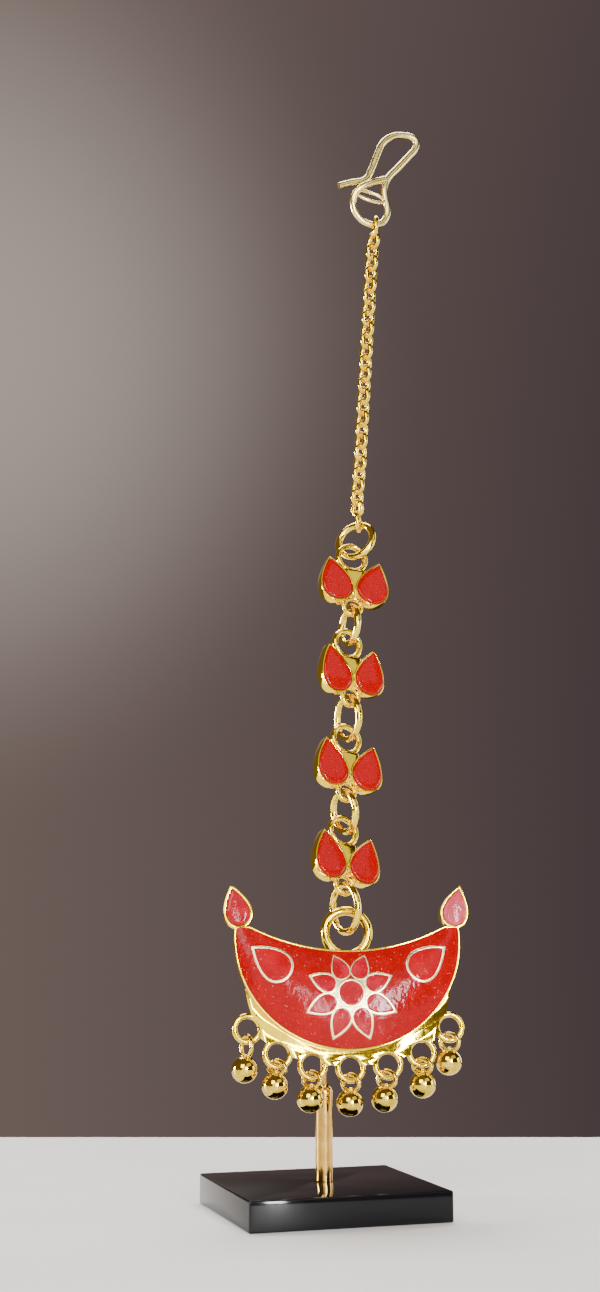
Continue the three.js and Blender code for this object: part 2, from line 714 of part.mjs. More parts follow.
function buildHook(hold) {
  const onHook = ({ across, back, up }) => {
    return new THREE.Vector3(across * hookWidth, back * hookHeight, up * hookHeight);
  };
  const sides = 6;
  const section = new THREE.Shape();
  for (let i = 0; i < sides; i += 1) {
    const angle = (2 * Math.PI * i) / sides;
    const [x, y] = [hookWire * Math.cos(angle), hookWire * Math.sin(angle)];
    if (i === 0) section.moveTo(x, y);
    else section.lineTo(x, y);
  }
  const points = hookRoute.map((point) => onHook(point).add(hold));
  const route = new THREE.CatmullRomCurve3(points, false, 'centripetal');
  const wire = new THREE.ExtrudeGeometry(section, { steps: 42, extrudePath: route, bevelEnabled: false });
  const middle = onHook(innerTurnAt).add(hold);
  const innerTurn = wireLoop(middle, onHook(innerTurnLong), onHook(innerTurnShort), hookInnerWire, 12, 5);
  addMesh('hook', toGeometry(join([wire, innerTurn])), paleGold);
}

const pendantFrame = addFrame(pendantAt);
buildPendant(pendantFrame);
const pendantRing = worldPoint(pendantFrame, 0, pendantThick - topRingDepth / 2, topRingHeight);

const heightOf = (i) => linkTable.slice(i).reduce((height, { rise }) => height + rise, pendantHeight);
const links = linkTable.map((pose, i) => buildLink(i + 1, { ...pose, z: heightOf(i) }));
jumpTurns.forEach((turn, i) => {
  const held = i + 1 < links.length ? links[i + 1].ring : pendantRing;
  buildJumpRing(`jump_ring_${i + 2}`, links[i].eye, held, turn);
});

const topJumpFrame = addFrame({ ...topJump, z: heightOf(0) + topJumpRise });
const topJumpLoop = wireLoop(
  new THREE.Vector3(),
  new THREE.Vector3(0, 0, topJumpRadius - ringWire),
  new THREE.Vector3(topJumpRadius - ringWire, 0, 0),
  ringWire,
  16,
  6,
);
addMesh('jump_ring_1', topJumpLoop, gold, topJumpFrame);

eyeletCentres().forEach(({ x, z }, i) => {
  const middle = pendantThick - flangeDepth / 2;
  const eyelet = worldPoint(pendantFrame, x, middle, z);
  eyelet.y = worldPoint(pendantFrame, x, middle, z - eyeletRadius + eyeletBand / 2).y;
  buildBell(i + 1, eyelet, bellTable[i]);
});

const chainFoot = worldPoint(topJumpFrame, 0, 0, topJumpRadius - ringWire);
const chainHead = chainFoot.clone().add(new THREE.Vector3(chainSway, chainSetback, chainLength));
buildChain(chainFoot, chainHead);
buildHook(chainHead);

addMesh('stand_base', standBase(), blackGloss);
addMesh('stand_post', standPost(pendantFrame), paleGold);

export default model;
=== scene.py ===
# A gilt forehead jewel with red enamel, standing upright on a small black block.
# Pieces are modelled in millimetres in their own frame and brought to metres when they are seated.
import math

import bpy
from mathutils import Matrix, Vector
from mathutils.geometry import interpolate_bezier


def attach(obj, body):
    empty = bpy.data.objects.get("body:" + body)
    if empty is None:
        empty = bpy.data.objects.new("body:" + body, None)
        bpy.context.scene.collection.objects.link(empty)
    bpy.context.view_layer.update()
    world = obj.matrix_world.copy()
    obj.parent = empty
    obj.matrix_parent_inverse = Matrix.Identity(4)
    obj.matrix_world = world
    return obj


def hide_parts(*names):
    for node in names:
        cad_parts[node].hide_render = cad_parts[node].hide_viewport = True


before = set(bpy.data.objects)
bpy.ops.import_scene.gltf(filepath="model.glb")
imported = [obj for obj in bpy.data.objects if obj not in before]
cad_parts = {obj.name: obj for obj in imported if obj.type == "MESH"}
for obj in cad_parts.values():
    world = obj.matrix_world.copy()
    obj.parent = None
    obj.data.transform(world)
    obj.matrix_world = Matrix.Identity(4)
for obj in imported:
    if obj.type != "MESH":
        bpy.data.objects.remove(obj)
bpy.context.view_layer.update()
print("frame loaded,", len(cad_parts), "nodes")

mm = 0.001
hair = 0.01   # a face nearer to a plane than this lies on it
manyCorners = 8   # only the face of a whole outline has more
noMove = Matrix.Identity(4)


def letGo():
    if bpy.context.object and bpy.context.object.mode != "OBJECT":
        bpy.ops.object.mode_set(mode="OBJECT")
    bpy.ops.object.select_all(action="DESELECT")


def hold(piece):
    letGo()
    piece.select_set(True)
    bpy.context.view_layer.objects.active = piece


def bake(piece):   # rotation, scale and place go into the mesh
    hold(piece)
    bpy.ops.object.transform_apply(location=True, rotation=True, scale=True)
    return piece


def pickAll(piece):   # opens a piece for shaping, with all of it selected
    hold(piece)
    bpy.ops.object.mode_set(mode="EDIT")
    bpy.ops.mesh.select_all(action="SELECT")


def pickFaces(piece, wanted):
    hold(piece)
    bpy.ops.object.mode_set(mode="EDIT")
    bpy.ops.mesh.select_mode(type="FACE")
    bpy.ops.mesh.select_all(action="DESELECT")
    bpy.ops.object.mode_set(mode="OBJECT")
    for face in piece.data.polygons:
        face.select = wanted(face)
    bpy.ops.object.mode_set(mode="EDIT")


def pickFront(piece, limit):   # the face of the whole outline, in front of the limit
    pickFaces(piece, lambda face: face.center.y < limit and len(face.vertices) > manyCorners)


def push(distance):   # extrudes what is selected, away from the viewer
    bpy.ops.mesh.extrude_region_move(TRANSFORM_OT_translate={"value": (0, distance, 0)})


def shift(distance):   # moves what is selected, away from the viewer
    bpy.ops.transform.translate(value=(0, distance, 0))


def faceOutwards(piece):
    pickAll(piece)
    bpy.ops.mesh.normals_make_consistent(inside=False)
    bpy.ops.object.mode_set(mode="OBJECT")
    return piece


def flatOutline(points, depth=0.0):   # one flat face in this outline, in the plane that faces the viewer
    letGo()
    bpy.ops.mesh.primitive_circle_add(vertices=len(points), radius=1, fill_type="NGON")
    piece = bpy.context.object
    for vertex, (x, z) in zip(piece.data.vertices, points):
        vertex.co = (x, depth, z)
    return piece


def thicken(piece, distance):
    pickAll(piece)
    push(distance)
    return faceOutwards(piece)


def addAndApply(piece, kind, **settings):
    hold(piece)
    modifier = piece.modifiers.new(kind.title(), kind)
    for name, value in settings.items():
        setattr(modifier, name, value)
    bpy.ops.object.modifier_apply(modifier=modifier.name)
    return piece


def roundEdges(piece, width, segments, angle):   # edges that turn by more than the angle
    return addAndApply(piece, "BEVEL", width=width, segments=segments, limit_method="ANGLE",
                       angle_limit=math.radians(angle), miter_outer="MITER_SHARP")


def cutBy(piece, tool, how="DIFFERENCE"):
    addAndApply(piece, "BOOLEAN", object=tool, operation=how, solver="EXACT")
    bpy.data.objects.remove(tool, do_unlink=True)
    return piece


def merge(pieces):
    letGo()
    for piece in pieces:
        piece.select_set(True)
    bpy.context.view_layer.objects.active = pieces[0]
    bpy.ops.object.join()
    return pieces[0]


def twin(piece):
    hold(piece)
    bpy.ops.object.duplicate(linked=False)
    return bpy.context.object


def mirrorAcross(piece):
    piece.scale.x = -1
    bake(piece)
    return faceOutwards(piece)


def poseMatrix(pose):   # yaw turns the right side back, lean tips the top back, roll is clockwise
    yaw, lean, roll = (math.radians(pose[key]) for key in ("yaw", "lean", "roll"))
    turn = Matrix.Rotation(yaw, 4, "Z") @ Matrix.Rotation(-lean, 4, "X") @ Matrix.Rotation(roll, 4, "Y")
    return Matrix.Translation((pose["x"], pose["y"], pose["z"])) @ turn


def axesMatrix(centre, along, across):   # x runs along, and y runs as nearly across as it can
    along = along.normalized()
    across = (across - across.dot(along) * along).normalized()
    third = along.cross(across)
    turn = Matrix((along, across, third)).transposed().to_4x4()
    return Matrix.Translation(centre) @ turn


def seat(piece, name, place, node, finish, smooth=40):
    piece.matrix_world = Matrix.Scale(mm, 4) @ place @ piece.matrix_world
    bake(piece)
    bpy.ops.object.shade_smooth_by_angle(angle=math.radians(smooth))
    piece.name = name
    piece.data.name = name
    piece.data.materials.clear()
    piece.data.materials.append(finish["material"])
    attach(piece, "root")
    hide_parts(node)


def noise(tree, scale, detail, rough=0.55, stretch=(1, 1, 1)):
    coordinates = tree.nodes.new("ShaderNodeTexCoord")
    mapping = tree.nodes.new("ShaderNodeMapping")
    mapping.inputs["Scale"].default_value = stretch
    texture = tree.nodes.new("ShaderNodeTexNoise")
    texture.inputs["Scale"].default_value = scale
    texture.inputs["Detail"].default_value = detail
    texture.inputs["Roughness"].default_value = rough
    tree.links.new(coordinates.outputs["Object"], mapping.inputs["Vector"])
    tree.links.new(mapping.outputs["Vector"], texture.inputs["Vector"])
    return texture.outputs["Fac"]


def band(tree, source, taken, given):   # spreads one range of values over another
    spread = tree.nodes.new("ShaderNodeMapRange")
    names = ("From Min", "From Max", "To Min", "To Max")
    for name, value in zip(names, (*taken, *given)):
        spread.inputs[name].default_value = value
    tree.links.new(source, spread.inputs["Value"])
    return spread.outputs["Result"]


def tint(tree, share, first, second):   # each colour is three numbers or comes from another node
    mix = tree.nodes.new("ShaderNodeMix")
    mix.data_type = "RGBA"
    for socket, colour in (("A", first), ("B", second)):
        if isinstance(colour, tuple):
            mix.inputs[socket].default_value = (*colour, 1)
        else:
            tree.links.new(colour, mix.inputs[socket])
    tree.links.new(share, mix.inputs["Factor"])
    return mix.outputs["Result"]


def relief(tree, heights, distance, strength):
    bump = tree.nodes.new("ShaderNodeBump")
    bump.inputs["Distance"].default_value = distance
    bump.inputs["Strength"].default_value = strength
    tree.links.new(heights, bump.inputs["Height"])
    return bump.outputs["Normal"]


def newFinish(name):
    material = bpy.data.materials.new(name)
    material.use_nodes = True
    return material, material.node_tree, material.node_tree.nodes["Principled BSDF"]


# a scale says how fine a pattern is, and a range which part of it shows
metalGrain = {
    "patchScale": 420, "patchRange": (0.35, 0.7), "wearScale": 2600, "wearRange": (0.35, 0.75),
    "skinScale": 900, "skinHeight": 0.00012,
}


def polishedMetal(name, slot, bright, deep, rough, cast, streak=(1, 1, 1)):
    material, tree, shader = newFinish(name)
    patches = band(tree, noise(tree, metalGrain["patchScale"], detail=3), metalGrain["patchRange"], (0, 1))
    wear = noise(tree, metalGrain["wearScale"], detail=5, rough=0.7, stretch=streak)
    skin = noise(tree, metalGrain["skinScale"], detail=3, stretch=streak)
    tree.links.new(tint(tree, patches, bright, deep), shader.inputs["Base Color"])
    tree.links.new(band(tree, wear, metalGrain["wearRange"], rough), shader.inputs["Roughness"])
    tree.links.new(relief(tree, skin, metalGrain["skinHeight"], cast), shader.inputs["Normal"])
    shader.inputs["Metallic"].default_value = 1.0
    return {"material": material, "slot": slot}


enamelGrain = {
    "cloudScale": 330, "cloudRange": (0.45, 0.8), "wearScale": 2300, "wearRange": (0.4, 0.75),
    "speckScale": 3100, "speckRange": (0.66, 0.76), "speckShare": 0.8, "speckColour": (0.9, 0.22, 0.2),
    "rough": (0.05, 0.18), "rippleScale": 1100, "rippleHeight": 0.0002,
}


def glassEnamel(name, slot, base, light, share, ripple, gloss=0.22):
    material, tree, shader = newFinish(name)
    cloud = noise(tree, enamelGrain["cloudScale"], detail=6, rough=0.65)
    wear = noise(tree, enamelGrain["wearScale"], detail=6, rough=0.75)
    # pale specks in the base colour: partly glitter in the enamel, partly painted sparkle highlights
    glitterAndSparkle = noise(tree, enamelGrain["speckScale"], detail=2, rough=0.5)
    waves = noise(tree, enamelGrain["rippleScale"], detail=3, rough=0.5)
    body = tint(tree, band(tree, cloud, enamelGrain["cloudRange"], (0, share)), base, light)
    specks = band(tree, glitterAndSparkle, enamelGrain["speckRange"], (0, share * enamelGrain["speckShare"]))
    speckled = tint(tree, specks, body, enamelGrain["speckColour"])
    tree.links.new(speckled, shader.inputs["Base Color"])
    dullness = band(tree, wear, enamelGrain["wearRange"], enamelGrain["rough"])
    tree.links.new(dullness, shader.inputs["Roughness"])
    tree.links.new(relief(tree, waves, enamelGrain["rippleHeight"], ripple), shader.inputs["Normal"])
    shader.inputs["Specular IOR Level"].default_value = gloss
    return {"material": material, "slot": slot}


blackGloss = {
    "hazeScale": 60, "hazeRange": (0.3, 0.75), "rough": (0.03, 0.09), "dustScale": 3200, "dustRange": (0.72, 0.8),
    "colour": (0.004, 0.004, 0.005), "dustColour": (0.03, 0.03, 0.032), "gloss": 0.24,
}


def blackAcrylic(style):
    material, tree, shader = newFinish("blackAcrylic")
    haze = noise(tree, style["hazeScale"], detail=4)
    dust = band(tree, noise(tree, style["dustScale"], detail=2), style["dustRange"], (0, 1))
    tree.links.new(band(tree, haze, style["hazeRange"], style["rough"]), shader.inputs["Roughness"])
    tree.links.new(tint(tree, dust, style["colour"], style["dustColour"]), shader.inputs["Base Color"])
    shader.inputs["Specular IOR Level"].default_value = style["gloss"]
    return {"material": material, "slot": "black_gloss"}


gold = polishedMetal("polishedGold", "gold", bright=(0.97, 0.73, 0.03), deep=(0.9, 0.59, 0.01),
                     rough=(0.03, 0.12), cast=0.09)
# a darker copy of the gold for the bells: painted shade, standing in for the dark reflections on the balls
shadedBellGold = polishedMetal("darkGoldBellsPaintedShade", "gold", bright=(0.88, 0.65, 0.08), deep=(0.64, 0.43, 0.03),
                         rough=(0.02, 0.08), cast=0.04)
wireGold = polishedMetal("drawnGoldWire", "gold", bright=(0.98, 0.75, 0.08), deep=(0.92, 0.62, 0.03),
                         rough=(0.03, 0.1), cast=0.05)
chainGold = polishedMetal("chainGold", "gold", bright=(0.95, 0.70, 0.05), deep=(0.82, 0.51, 0.02),
                          rough=(0.04, 0.14), cast=0.05)
# a paler copy of the gold for the cell walls and the collar: painted highlight, standing in for their blown-out
# glare
litWallGold = polishedMetal("solderedWallGoldPaintedHighlight", "gold", bright=(1.0, 0.88, 0.5), deep=(1.0, 0.8, 0.34),
                         rough=(0.16, 0.34), cast=0.1)
paleGold = polishedMetal("paleGoldWire", "pale_gold", bright=(0.97, 0.79, 0.31), deep=(0.86, 0.66, 0.2),
                         rough=(0.18, 0.3), cast=0.04)
postGold = polishedMetal("brushedPost", "pale_gold", bright=(0.74, 0.46, 0.11), deep=(0.5, 0.27, 0.05),
                         rough=(0.07, 0.18), cast=0.05, streak=(1, 1, 0.02))
redEnamel = glassEnamel("redEnamel", "red_enamel", base=(0.32, 0.0, 0.001), light=(0.39, 0.0, 0.002),
                        share=0.25, ripple=0.03, gloss=0.2)
fieldEnamel = glassEnamel("speckledRedEnamel", "red_enamel", base=(0.30, 0.0, 0.002), light=(0.43, 0.001, 0.003),
                          share=0.8, ripple=0.3, gloss=0.15)
roseEnamel = glassEnamel("roseEnamel", "rose_enamel", base=(0.34, 0.0, 0.008), light=(0.60, 0.03, 0.05),
                         share=0.8, ripple=0.2)
dropEnamel = glassEnamel("clearRoseEnamel", "rose_enamel", base=(0.35, 0.0, 0.004), light=(0.52, 0.008, 0.015),
                         share=0.8, ripple=0.2, gloss=0.16)
# a paler copy of the rose enamel for the right horn: painted glare and haze
glareRose = glassEnamel("roseEnamelPaintedGlare", "rose_enamel", base=(0.50, 0.05, 0.07), light=(0.74, 0.2, 0.24),
                       share=0.9, ripple=0.2)
black = blackAcrylic(blackGloss)
print("finishes ready")


def dropOutline(foot, tip, width, steps):   # round foot, pointed tip, widest a third of the way up
    foot, tip = Vector(foot), Vector(tip)
    along = tip - foot
    across = Vector((-along.y, along.x)).normalized()
    widest = math.sqrt(1 / 3) * (2 / 3)
    crowding = 1.6   # the points stand closer near the round foot
    right, left = [], []
    for i in range(1, steps):
        share = (i / steps) ** crowding
        reach = (width / 2) * math.sqrt(share) * (1 - share) / widest
        right.append(foot + along * share - across * reach)
        left.append(foot + along * share + across * reach)
    return [tuple(p) for p in [foot, *right, tip, *reversed(left)]]


def drawnDrop(foot, tip, width, drawIn, steps):   # the same drop, drawn in evenly all round
    foot, tip = Vector(foot), Vector(tip)
    length = (tip - foot).length
    fullness = 0.385   # the drop's curve at its widest, as above
    slope = width / 2 / fullness / length   # of its sides at the tip
    way = (tip - foot) / length
    pull = math.sqrt(1 + slope * slope) / slope
    return dropOutline(foot + way * drawIn, tip - way * pull * drawIn, width - 2 * drawIn, steps)


def circleOutline(centre, radius, sides):
    angles = [2 * math.pi * i / sides for i in range(sides)]
    return [(centre[0] + radius * math.cos(a), centre[1] + radius * math.sin(a)) for a in angles]


def castTray(points, thick, pocket, rim, edge):   # a flat dish with a thin rim, open to the viewer
    piece = thicken(flatOutline(points), thick)
    pickFaces(piece, lambda face: face.center.y > thick - hair)
    bpy.ops.mesh.bevel(offset=edge, segments=4, affect="EDGES", clamp_overlap=True)
    pickFront(piece, hair)
    bpy.ops.mesh.inset(thickness=rim, use_even_offset=True)
    push(pocket)
    letGo()
    return roundEdges(piece, width=0.07, segments=2, angle=60)


swelling = {   # how far each ring is drawn in from the rim and its depth, up to a last line down the middle
    "rings": [(0.01, 0.1), (0.05, -0.01), (0.13, -0.11), (0.25, -0.18), (0.42, -0.23), (0.65, -0.262),
              (0.95, -0.282)],
    "lineWidth": 0.001, "lineDepth": -0.295,
}


def fillingIn(foot, tip, width, rim, back, steps):   # enamel that swells out over the rim of its tray
    rings = [(rim + inwards, depth) for inwards, depth in swelling["rings"]]
    rings.append((width / 2 - swelling["lineWidth"], swelling["lineDepth"]))
    outlines = [(drawnDrop(foot, tip, width, drawIn, steps), depth) for drawIn, depth in rings]
    piece = flatOutline(outlines[0][0], back)
    for points, depth in outlines:
        front = min(face.center.y for face in piece.data.polygons)
        pickFront(piece, front + hair)
        push(-1)
        bpy.ops.object.mode_set(mode="OBJECT")
        moved = [vertex for vertex in piece.data.vertices if vertex.select]
        for vertex, (x, z) in zip(moved, points):
            vertex.co = (x, depth, z)
    pickAll(piece)
    bpy.ops.mesh.remove_doubles(threshold=0.004)
    bpy.ops.mesh.dissolve_degenerate(threshold=0.001)
    return faceOutwards(piece)


def castRing(radius, thickness, depth, place):   # a solid ring that faces the viewer
    letGo()
    bpy.ops.mesh.primitive_torus_add(major_radius=radius - thickness / 2, minor_radius=thickness / 2,
                                     major_segments=56, minor_segments=18)
    piece = bpy.context.object
    piece.scale.z = depth / thickness
    bake(piece)
    piece.rotation_euler.x = math.pi / 2
    piece.location = place
    return bake(piece)


def ringOnBack(size, thick, height):   # a ring flush with the back of its casting
    radius, thickness, depth = size
    return castRing(radius, thickness, depth, (0, thick - depth / 2, height))


def ovalWire(halfAlong, halfAcross, wire, place, around, resolution):   # around and resolution count its faces
    letGo()
    bpy.ops.curve.primitive_bezier_circle_add(radius=1)
    ring = bpy.context.object
    ring.scale = (halfAlong, halfAcross, 1)
    bake(ring)
    for point in ring.data.splines[0].bezier_points:
        point.radius = 1   # applying the scale would thicken the wire
    ring.data.resolution_u = resolution
    ring.data.bevel_depth = wire
    ring.data.bevel_resolution = max(0, around // 2 - 2)
    bpy.ops.object.convert(target="MESH")
    ring.matrix_world = place
    return bake(ring)


leafLink = {   # sizes in its own frame: x right, z up, y from the rim of the tray to the back
    "thick": 2.1, "pocket": 0.9, "rim": 0.24, "backEdge": 0.42,
    "leafWidth": 5.55, "leafTip": (4.27, 6.06), "leafFoot": (2.26, -1.86), "leafSteps": 26,
    "ring": (2.75, 0.95, 1.2), "ringHeight": 6.86, "eye": (1.85, 0.8, 1.0), "eyeHeight": -2.0,
    "webFoot": (0.6, -0.5), "webShare": 0.75, "webDepth": 1.5, "webInset": 0.42, "webRise": 0.32, "webEdge": 0.25,
    "poses": [
        {"x": 5.87, "y": 0.4, "z": 95.49, "yaw": 0.5, "lean": 17.8, "roll": 5.6},
        {"x": 5.38, "y": -0.4, "z": 80.69, "yaw": 13, "lean": 11, "roll": 3.3},
        {"x": 4.39, "y": -1.2, "z": 65.65, "yaw": 10.2, "lean": 16.2, "roll": 8.7},
        {"x": 3.72, "y": -2.0, "z": 51.21, "yaw": 13, "lean": 18.2, "roll": 9.7},
    ],
}


def leafWeb(style):   # the metal between the leaves, under the ring
    radius, thickness, _ = style["ring"]
    halfFoot, foot = style["webFoot"]
    halfHead, head = radius * style["webShare"], style["ringHeight"] - radius + thickness / 2
    front = style["thick"] - style["webDepth"]
    corners = [(-halfFoot, foot), (halfFoot, foot), (halfHead, head), (-halfHead, head)]
    web = thicken(flatOutline(corners, front), style["webDepth"])
    pickFaces(web, lambda face: face.center.y < front + hair)
    bpy.ops.mesh.inset(thickness=style["webInset"])
    shift(-style["webRise"])
    letGo()
    return roundEdges(web, width=style["webEdge"], segments=4, angle=20)


def leafMetal(style):
    points = dropOutline(style["leafFoot"], style["leafTip"], style["leafWidth"], style["leafSteps"])
    right = castTray(points, style["thick"], style["pocket"], style["rim"], style["backEdge"])
    left = mirrorAcross(twin(right))
    ring = ringOnBack(style["ring"], style["thick"], style["ringHeight"])
    eye = ringOnBack(style["eye"], style["thick"], style["eyeHeight"])
    return merge([right, left, ring, eye, leafWeb(style)])


def leafFilling(style, side):
    piece = fillingIn(style["leafFoot"], style["leafTip"], style["leafWidth"], style["rim"], style["pocket"],
                      style["leafSteps"])
    return piece if side == "right" else mirrorAcross(piece)


linkMetal = leafMetal(leafLink)
linkFillings = {side: leafFilling(leafLink, side) for side in ("left", "right")}
for number, pose in enumerate(leafLink["poses"], 1):
    place = poseMatrix(pose)
    seat(twin(linkMetal), f"leafLink{number}", place, f"leaf_link_{number}", gold)
    for side, filling in linkFillings.items():
        seat(twin(filling), f"leafEnamel{number}{side.title()}", place, f"leaf_enamel_{number}_{side}",
             redEnamel, smooth=60)
for model in [linkMetal, *linkFillings.values()]:
    bpy.data.objects.remove(model, do_unlink=True)
print("leaf links done")


# the pendant's sizes are in its own frame: x right, z up, y from the front rim to the back
pendant = {
    "pose": {"x": 3.18, "y": -3.2, "z": 40.6, "yaw": -10, "lean": 10, "roll": 0},
    "halfWidth": 17.5, "depth": 16.7, "topDip": -1.66, "topRadius": 33, "hornTop": 2.0,
    "thick": 2.5, "pocket": 1.3, "rim": 0.3, "backEdge": 0.4,
    "flangeWidth": 1.5, "flangeDepth": 1.2, "flangeEdge": 0.2, "flangeStart": 0.17, "flangeTaper": 0.12,
    "scallopReach": 1.6, "scallopRise": 0.25, "scallopShoulder": 0.16, "scallopInset": 0.1,
    "topRing": (4.1, 1.45, 1.8), "topRingHeight": 1.22, "eyelet": (2.35, 0.85, 0.9), "holeShare": 0.6,
    "eyelets": [(41.3, 3.19), (57.8, 3.23), (73.4, 2.7), (90, 2.33)],   # degrees round, distance out
    "hornDrop": ((16.3, 1.75), (17.87, 8.35)), "hornWidth": 4.45, "hornSteps": 24,
    "hornThick": 2.3, "hornPocket": 1.0, "hornRim": 0.38, "hornEdge": 0.4,
    "enamelRise": 1.5, "enamelStart": 0.08, "enamelGap": 0.01, "enamelEdge": 0.14,
    "underWall": 0.02, "underField": 0.06,   # how far a cell's enamel and the field's go in under a wall
    "wall": 0.42, "thinWall": 0.24, "wallLift": 0.14, "wallDepth": 0.9, "wallRounding": 0.26,
    "flowerHeight": -8.31, "centreRadius": 2.22, "collar": (3.7, 2.0), "collarShare": 0.6,
    "sideDrop": ((9.2, -5.75), (15.0, -1.15), 5.2),   # round foot, pointed tip, width
    "petals": [(22.5, 6.45, 3.0), (67.5, 7.0, 3.25), (112.5, 7.6, 3.4), (157.5, 7.5, 3.4), (202.5, 7.5, 3.4),
               (247.5, 7.6, 3.4), (292.5, 7.0, 3.25), (337.5, 6.45, 3.0)],   # degrees from the top, tip, width
}
pendantPlace = poseMatrix(pendant["pose"])


def lowerEdge(style, share, drawIn):
    start = -math.asin((style["hornTop"] - drawIn) / (style["depth"] - drawIn))
    angle = start + (math.pi - 2 * start) * share
    return (-(style["halfWidth"] - drawIn) * math.cos(angle), -(style["depth"] - drawIn) * math.sin(angle))


def upperEdge(style, share, drawIn):
    rise = style["hornTop"] - style["topDip"]
    halfChord = math.sqrt(2 * style["topRadius"] * rise - rise * rise)
    x = halfChord * (2 * share - 1)
    return (x, style["topDip"] + style["topRadius"] - math.sqrt(style["topRadius"] ** 2 - x * x) - drawIn)


def crescentOutline(style, drawIn, lowerSteps=84, upperSteps=40):
    lower = [lowerEdge(style, i / lowerSteps, drawIn) for i in range(lowerSteps + 1)]
    upper = [upperEdge(style, i / upperSteps, drawIn) for i in range(upperSteps, -1, -1)]
    return lower + upper


def domeBlock(style, across=96, up=28):   # all the enamel in one, and a copy of its swelling front
    drawIn, back = style["rim"] + style["enamelGap"], style["pocket"] - style["enamelGap"]
    letGo()
    bpy.ops.mesh.primitive_grid_add(x_subdivisions=across, y_subdivisions=up, size=1)
    piece = bpy.context.object
    widest = style["topDip"] + style["depth"]
    for vertex in piece.data.vertices:
        share, height = vertex.co.x + 0.5, vertex.co.y + 0.5
        low, high = Vector(lowerEdge(style, share, drawIn)), Vector(upperEdge(style, share, drawIn))
        bulge = style["enamelRise"] * ((high - low).length / widest) * 4 * height * (1 - height)
        x, z = low.lerp(high, height)
        vertex.co = (x, style["enamelStart"] - bulge, z)
    guide = twin(piece)
    faceOutwards(guide)
    pickAll(piece)
    push(6)
    bpy.ops.object.mode_set(mode="OBJECT")
    for vertex in piece.data.vertices:
        if vertex.select:
            vertex.co.y = back
    return faceOutwards(piece), guide


def flowerCells(style):   # each cell's round foot, pointed tip and width
    cells = {}
    middle = Vector((0, style["flowerHeight"]))
    for i, (turn, tip, width) in enumerate(style["petals"], 1):
        way = Vector((math.sin(math.radians(turn)), math.cos(math.radians(turn))))
        cells[f"petal_{i}"] = (middle + way * style["centreRadius"], middle + way * tip, width)
    foot, tip, width = style["sideDrop"]
    cells["drop_right"] = (foot, tip, width)
    cells["drop_left"] = ((-foot[0], foot[1]), (-tip[0], tip[1]), width)
    cells["centre"] = None
    return cells


def wallWidth(style, name):   # the two top petals have a finer wall
    return style["thinWall"] if name in ("petal_1", "petal_8") else style["wall"]


def cellOutline(style, cell, drawIn, steps=22):
    if cell is None:
        return circleOutline((0, style["flowerHeight"]), style["centreRadius"] - drawIn, 2 * steps)
    return drawnDrop(*cell, drawIn, steps)


def punch(points):   # a long prism in this outline, to cut with
    return thicken(flatOutline(points, -4), 8)


def flowerCollar(style, cells, block):   # the gold between the feet of the petals
    radius, top = style["collar"]
    middle = style["flowerHeight"]
    points = [(x, min(z, middle + top)) for x, z in circleOutline((0, middle), radius, 64)]
    piece = cutBy(twin(block), punch(points), "INTERSECT")
    flower = [cell for name, cell in cells.items() if not name.startswith("drop")]
    inner = style["wall"] * style["collarShare"]
    cutBy(piece, merge([punch(cellOutline(style, cell, inner)) for cell in flower]))
    pickAll(piece)
    shift(-style["wallLift"] * style["collarShare"])
    letGo()
    return piece


def cellWall(style, name, cell, guide):   # a soldered strip that stands a little proud of the enamel
    width = wallWidth(style, name)
    loops = [flatOutline(cellOutline(style, cell, drawIn), -5) for drawIn in (0, width)]
    for loop in loops:
        pickFaces(loop, lambda face: True)
        bpy.ops.mesh.delete(type="ONLY_FACE")
    piece = merge(loops)
    pickAll(piece)
    bpy.ops.mesh.bridge_edge_loops()
    letGo()
    addAndApply(piece, "SHRINKWRAP", target=guide, wrap_method="PROJECT", use_project_x=False,
                use_project_y=True, use_project_z=False, use_positive_direction=True)
    pickAll(piece)
    shift(-style["wallLift"])
    push(style["wallDepth"])
    faceOutwards(piece)
    return roundEdges(piece, width=width * style["wallRounding"], segments=3, angle=50)


def eyeletCentres(style):
    right = []
    for degrees, out in style["eyelets"]:
        turn = math.radians(degrees)
        edge = Vector((style["halfWidth"] * math.cos(turn), -style["depth"] * math.sin(turn)))
        normal = Vector((math.cos(turn) / style["halfWidth"], -math.sin(turn) / style["depth"])).normalized()
        right.append(edge + normal * out)
    left = [Vector((-p.x, p.y)) for p in right[:-1]]
    return left + right[::-1]


def flangeMiddle(style):   # the depth of the band's and the eyelets' middle
    return style["thick"] - style["flangeDepth"] / 2


def flangePlate(style, steps=80):   # the scalloped band along the lower edge, fading out towards its ends
    start, leastFade = style["flangeStart"], 0.02
    outer, inner = [], []
    for i in range(steps + 1):
        share = start + (1 - 2 * start) * i / steps
        fade = min(1, min(i, steps - i) / steps / style["flangeTaper"])
        outer.append(lowerEdge(style, share, -style["flangeWidth"] * max(fade, leastFade)))
        inner.append(lowerEdge(style, share, style["rim"]))
    front = style["thick"] - style["flangeDepth"]
    piece = flatOutline(outer + inner[::-1], front)
    thicken(piece, style["flangeDepth"])
    centres = eyeletCentres(style)
    radius, thickness, _ = style["eyelet"]
    shoulder, inset = style["scallopShoulder"], style["scallopInset"]
    for a, b in zip(centres, centres[1:]):   # gold between two eyelets, down to the line of their centres
        out = (a + b).normalized()
        rise, reach = out * style["scallopRise"], out * style["scallopReach"]
        points = [a - reach, a.lerp(b, shoulder), a.lerp(b, 0.5) - rise, b.lerp(a, shoulder), b - reach]
        cutBy(piece, thicken(flatOutline(points, front + inset), style["flangeDepth"] - 2 * inset), "UNION")
    for centre in centres:
        cutBy(piece, punch(circleOutline(centre, radius - thickness * style["holeShare"], 40)))
    return roundEdges(piece, width=style["flangeEdge"], segments=3, angle=50)


